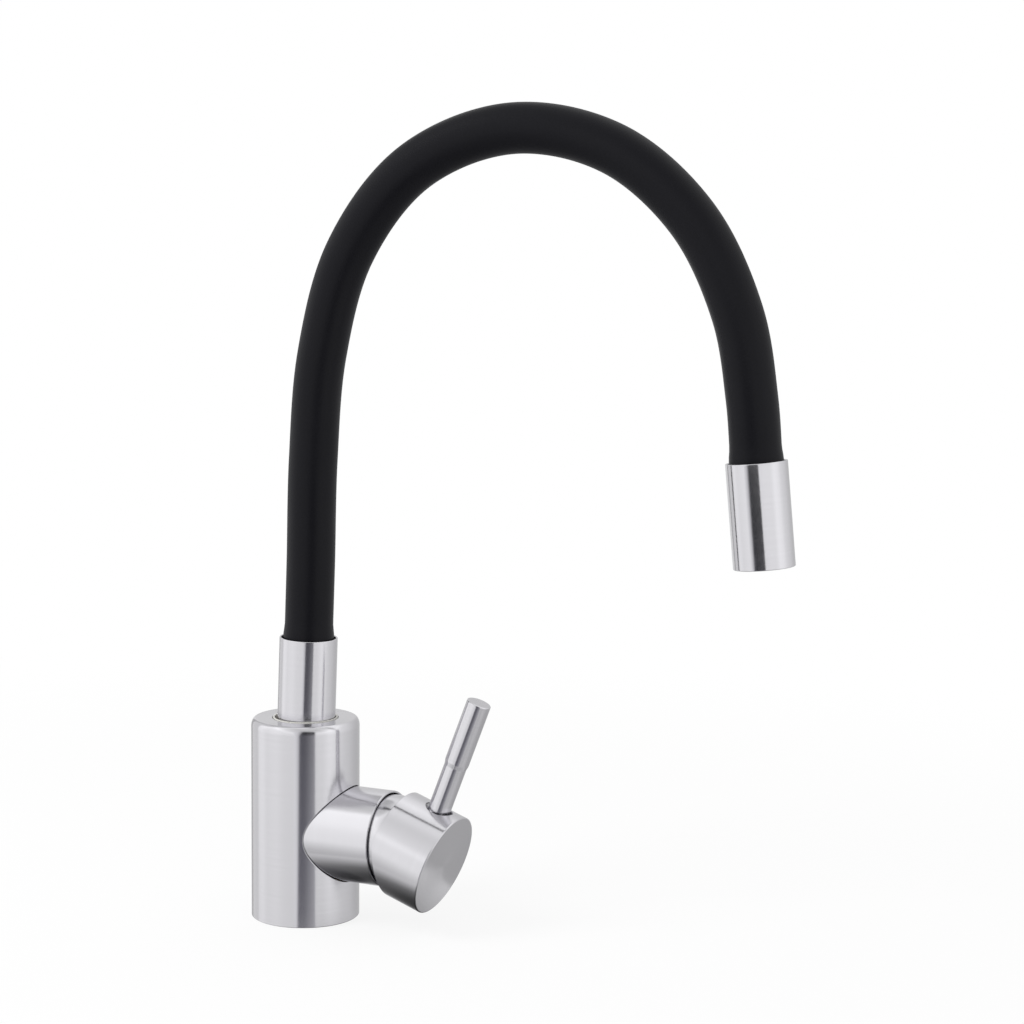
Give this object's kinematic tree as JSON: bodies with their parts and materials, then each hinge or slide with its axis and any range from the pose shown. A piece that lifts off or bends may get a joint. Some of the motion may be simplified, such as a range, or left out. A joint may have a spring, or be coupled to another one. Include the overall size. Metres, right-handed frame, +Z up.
{
  "type": "flexible kitchen faucet",
  "caption": "Single-lever kitchen faucet: upright steel body with a side branch and tilting handle, and a bendable hose spout on a swivel, arched over to a nozzle.",
  "frame": {"origin": "centre of the body's underside, on the deck", "axes": "+Z up; +X from the body's axis to the spout's outlet, with the branch and its handle 4.3 degrees from it towards -Y"},
  "size_m": [0.2541, 0.0542, 0.372],
  "materials": {
    "satin_steel": "satin, brushed round the tubes",
    "plain_steel": "as machined",
    "brass": "as machined",
    "silicone": "matte, smooth",
    "rubber": "matte",
    "white_plastic": "matte",
    "black_plastic": "matte",
    "ceramic": "lapped smooth"
  },
  "bodies": {
    "base": {"body_shell": "satin_steel", "base_plug": "brass", "base_gasket": "rubber", "branch_tube": "satin_steel", "valve_block": "brass", "cartridge_base": "white_plastic", "port_seal_cold": "rubber", "port_seal_hot": "rubber", "port_seal_mixed": "rubber", "fixed_disc": "ceramic", "cartridge_housing": "white_plastic", "retaining_nut": "brass", "dome_cap": "satin_steel", "swivel_socket": "brass", "socket_seal": "rubber", "swivel_clip": "plain_steel", "glide_ring": "white_plastic"},
    "mixer": {"stem_collar": "black_plastic", "pivot_pin": "plain_steel"},
    "disc": {"moving_disc": "ceramic", "disc_carrier": "black_plastic"},
    "handle": {"cartridge_stem": "brass", "handle_hub": "brass", "clamp_screw": "plain_steel", "handle_head": "satin_steel", "lever_rod": "satin_steel", "lever_stud": "plain_steel"},
    "spout": {"swivel_spigot": "brass", "spigot_ring_1": "rubber", "spigot_ring_2": "rubber", "neck_sleeve": "satin_steel", "foot_fitting": "brass", "hose_sleeve_1": "silicone", "hose_core_1": "plain_steel"},
    "hose_1": {"hose_sleeve_2": "silicone", "hose_core_2": "plain_steel"},
    "hose_2": {"hose_sleeve_3": "silicone", "hose_core_3": "plain_steel"},
    "hose_3": {"hose_sleeve_4": "silicone", "hose_core_4": "plain_steel"},
    "hose_4": {"hose_sleeve_5": "silicone", "hose_core_5": "plain_steel"},
    "hose_5": {"hose_sleeve_6": "silicone", "hose_core_6": "plain_steel"},
    "hose_6": {"hose_sleeve_7": "silicone", "hose_core_7": "plain_steel"},
    "nozzle": {"hose_sleeve_8": "silicone", "hose_core_8": "plain_steel", "nozzle_shell": "satin_steel", "nozzle_fitting": "brass", "aerator_housing": "brass", "aerator_gasket": "rubber", "aerator_insert": "white_plastic", "outlet_screen": "plain_steel"}
  },
  "joints": [
    {"name": "spout_swivel", "type": "hinge", "parent": "base", "child": "spout", "pos_m": [0, 0, 0.09], "axis": [0, 0, 1], "continuous": true},
    {"name": "handle_turn", "type": "hinge", "parent": "base", "child": "mixer", "pos_m": [0.04587, -0.00345, 0.0407], "axis": [0.9972, -0.075, 0], "range_deg": [-42.7, 47.3]},
    {"name": "handle_lift", "type": "hinge", "parent": "mixer", "child": "handle", "pos_m": [0.04587, -0.00345, 0.0407], "axis": [0.0749, 0.9964, -0.0401], "range_deg": [-19, 2.5]},
    {"name": "disc_slide", "type": "slide", "parent": "mixer", "child": "disc", "axis": [0.003, 0.04, 0.9992], "range_m": [-0.005, 0.0008]},
    {"name": "hose_bend_1", "type": "hinge", "parent": "spout", "child": "hose_1", "pos_m": [0.00226, 0, 0.14926], "axis": [0, 1, 0], "range_deg": [-13, 13]},
    {"name": "hose_bend_2", "type": "hinge", "parent": "hose_1", "child": "hose_2", "pos_m": [0.00445, 0, 0.2207], "axis": [0.9986, 0, -0.0534], "range_deg": [-13, 13]},
    {"name": "hose_bend_3", "type": "hinge", "parent": "hose_2", "child": "hose_3", "pos_m": [0.01571, 0, 0.29106], "axis": [0, 1, 0], "range_deg": [-13, 13]},
    {"name": "hose_bend_4", "type": "hinge", "parent": "hose_3", "child": "hose_4", "pos_m": [0.05776, 0, 0.34718], "axis": [0.5186, 0, -0.855], "range_deg": [-13, 13]},
    {"name": "hose_bend_5", "type": "hinge", "parent": "hose_4", "child": "hose_5", "pos_m": [0.12648, 0, 0.35835], "axis": [0, 1, 0], "range_deg": [-13, 13]},
    {"name": "hose_bend_6", "type": "hinge", "parent": "hose_5", "child": "hose_6", "pos_m": [0.18408, 0, 0.3187], "axis": [-0.8121, 0, -0.5835], "range_deg": [-13, 13]},
    {"name": "hose_bend_7", "type": "hinge", "parent": "hose_6", "child": "nozzle", "pos_m": [0.20823, 0, 0.25222], "axis": [0, 1, 0], "range_deg": [-13, 13]}
  ],
  "couplings": [
    {"joint": "disc_slide", "follows": "handle_lift", "m_per_rad": 0.01473}
  ]
}
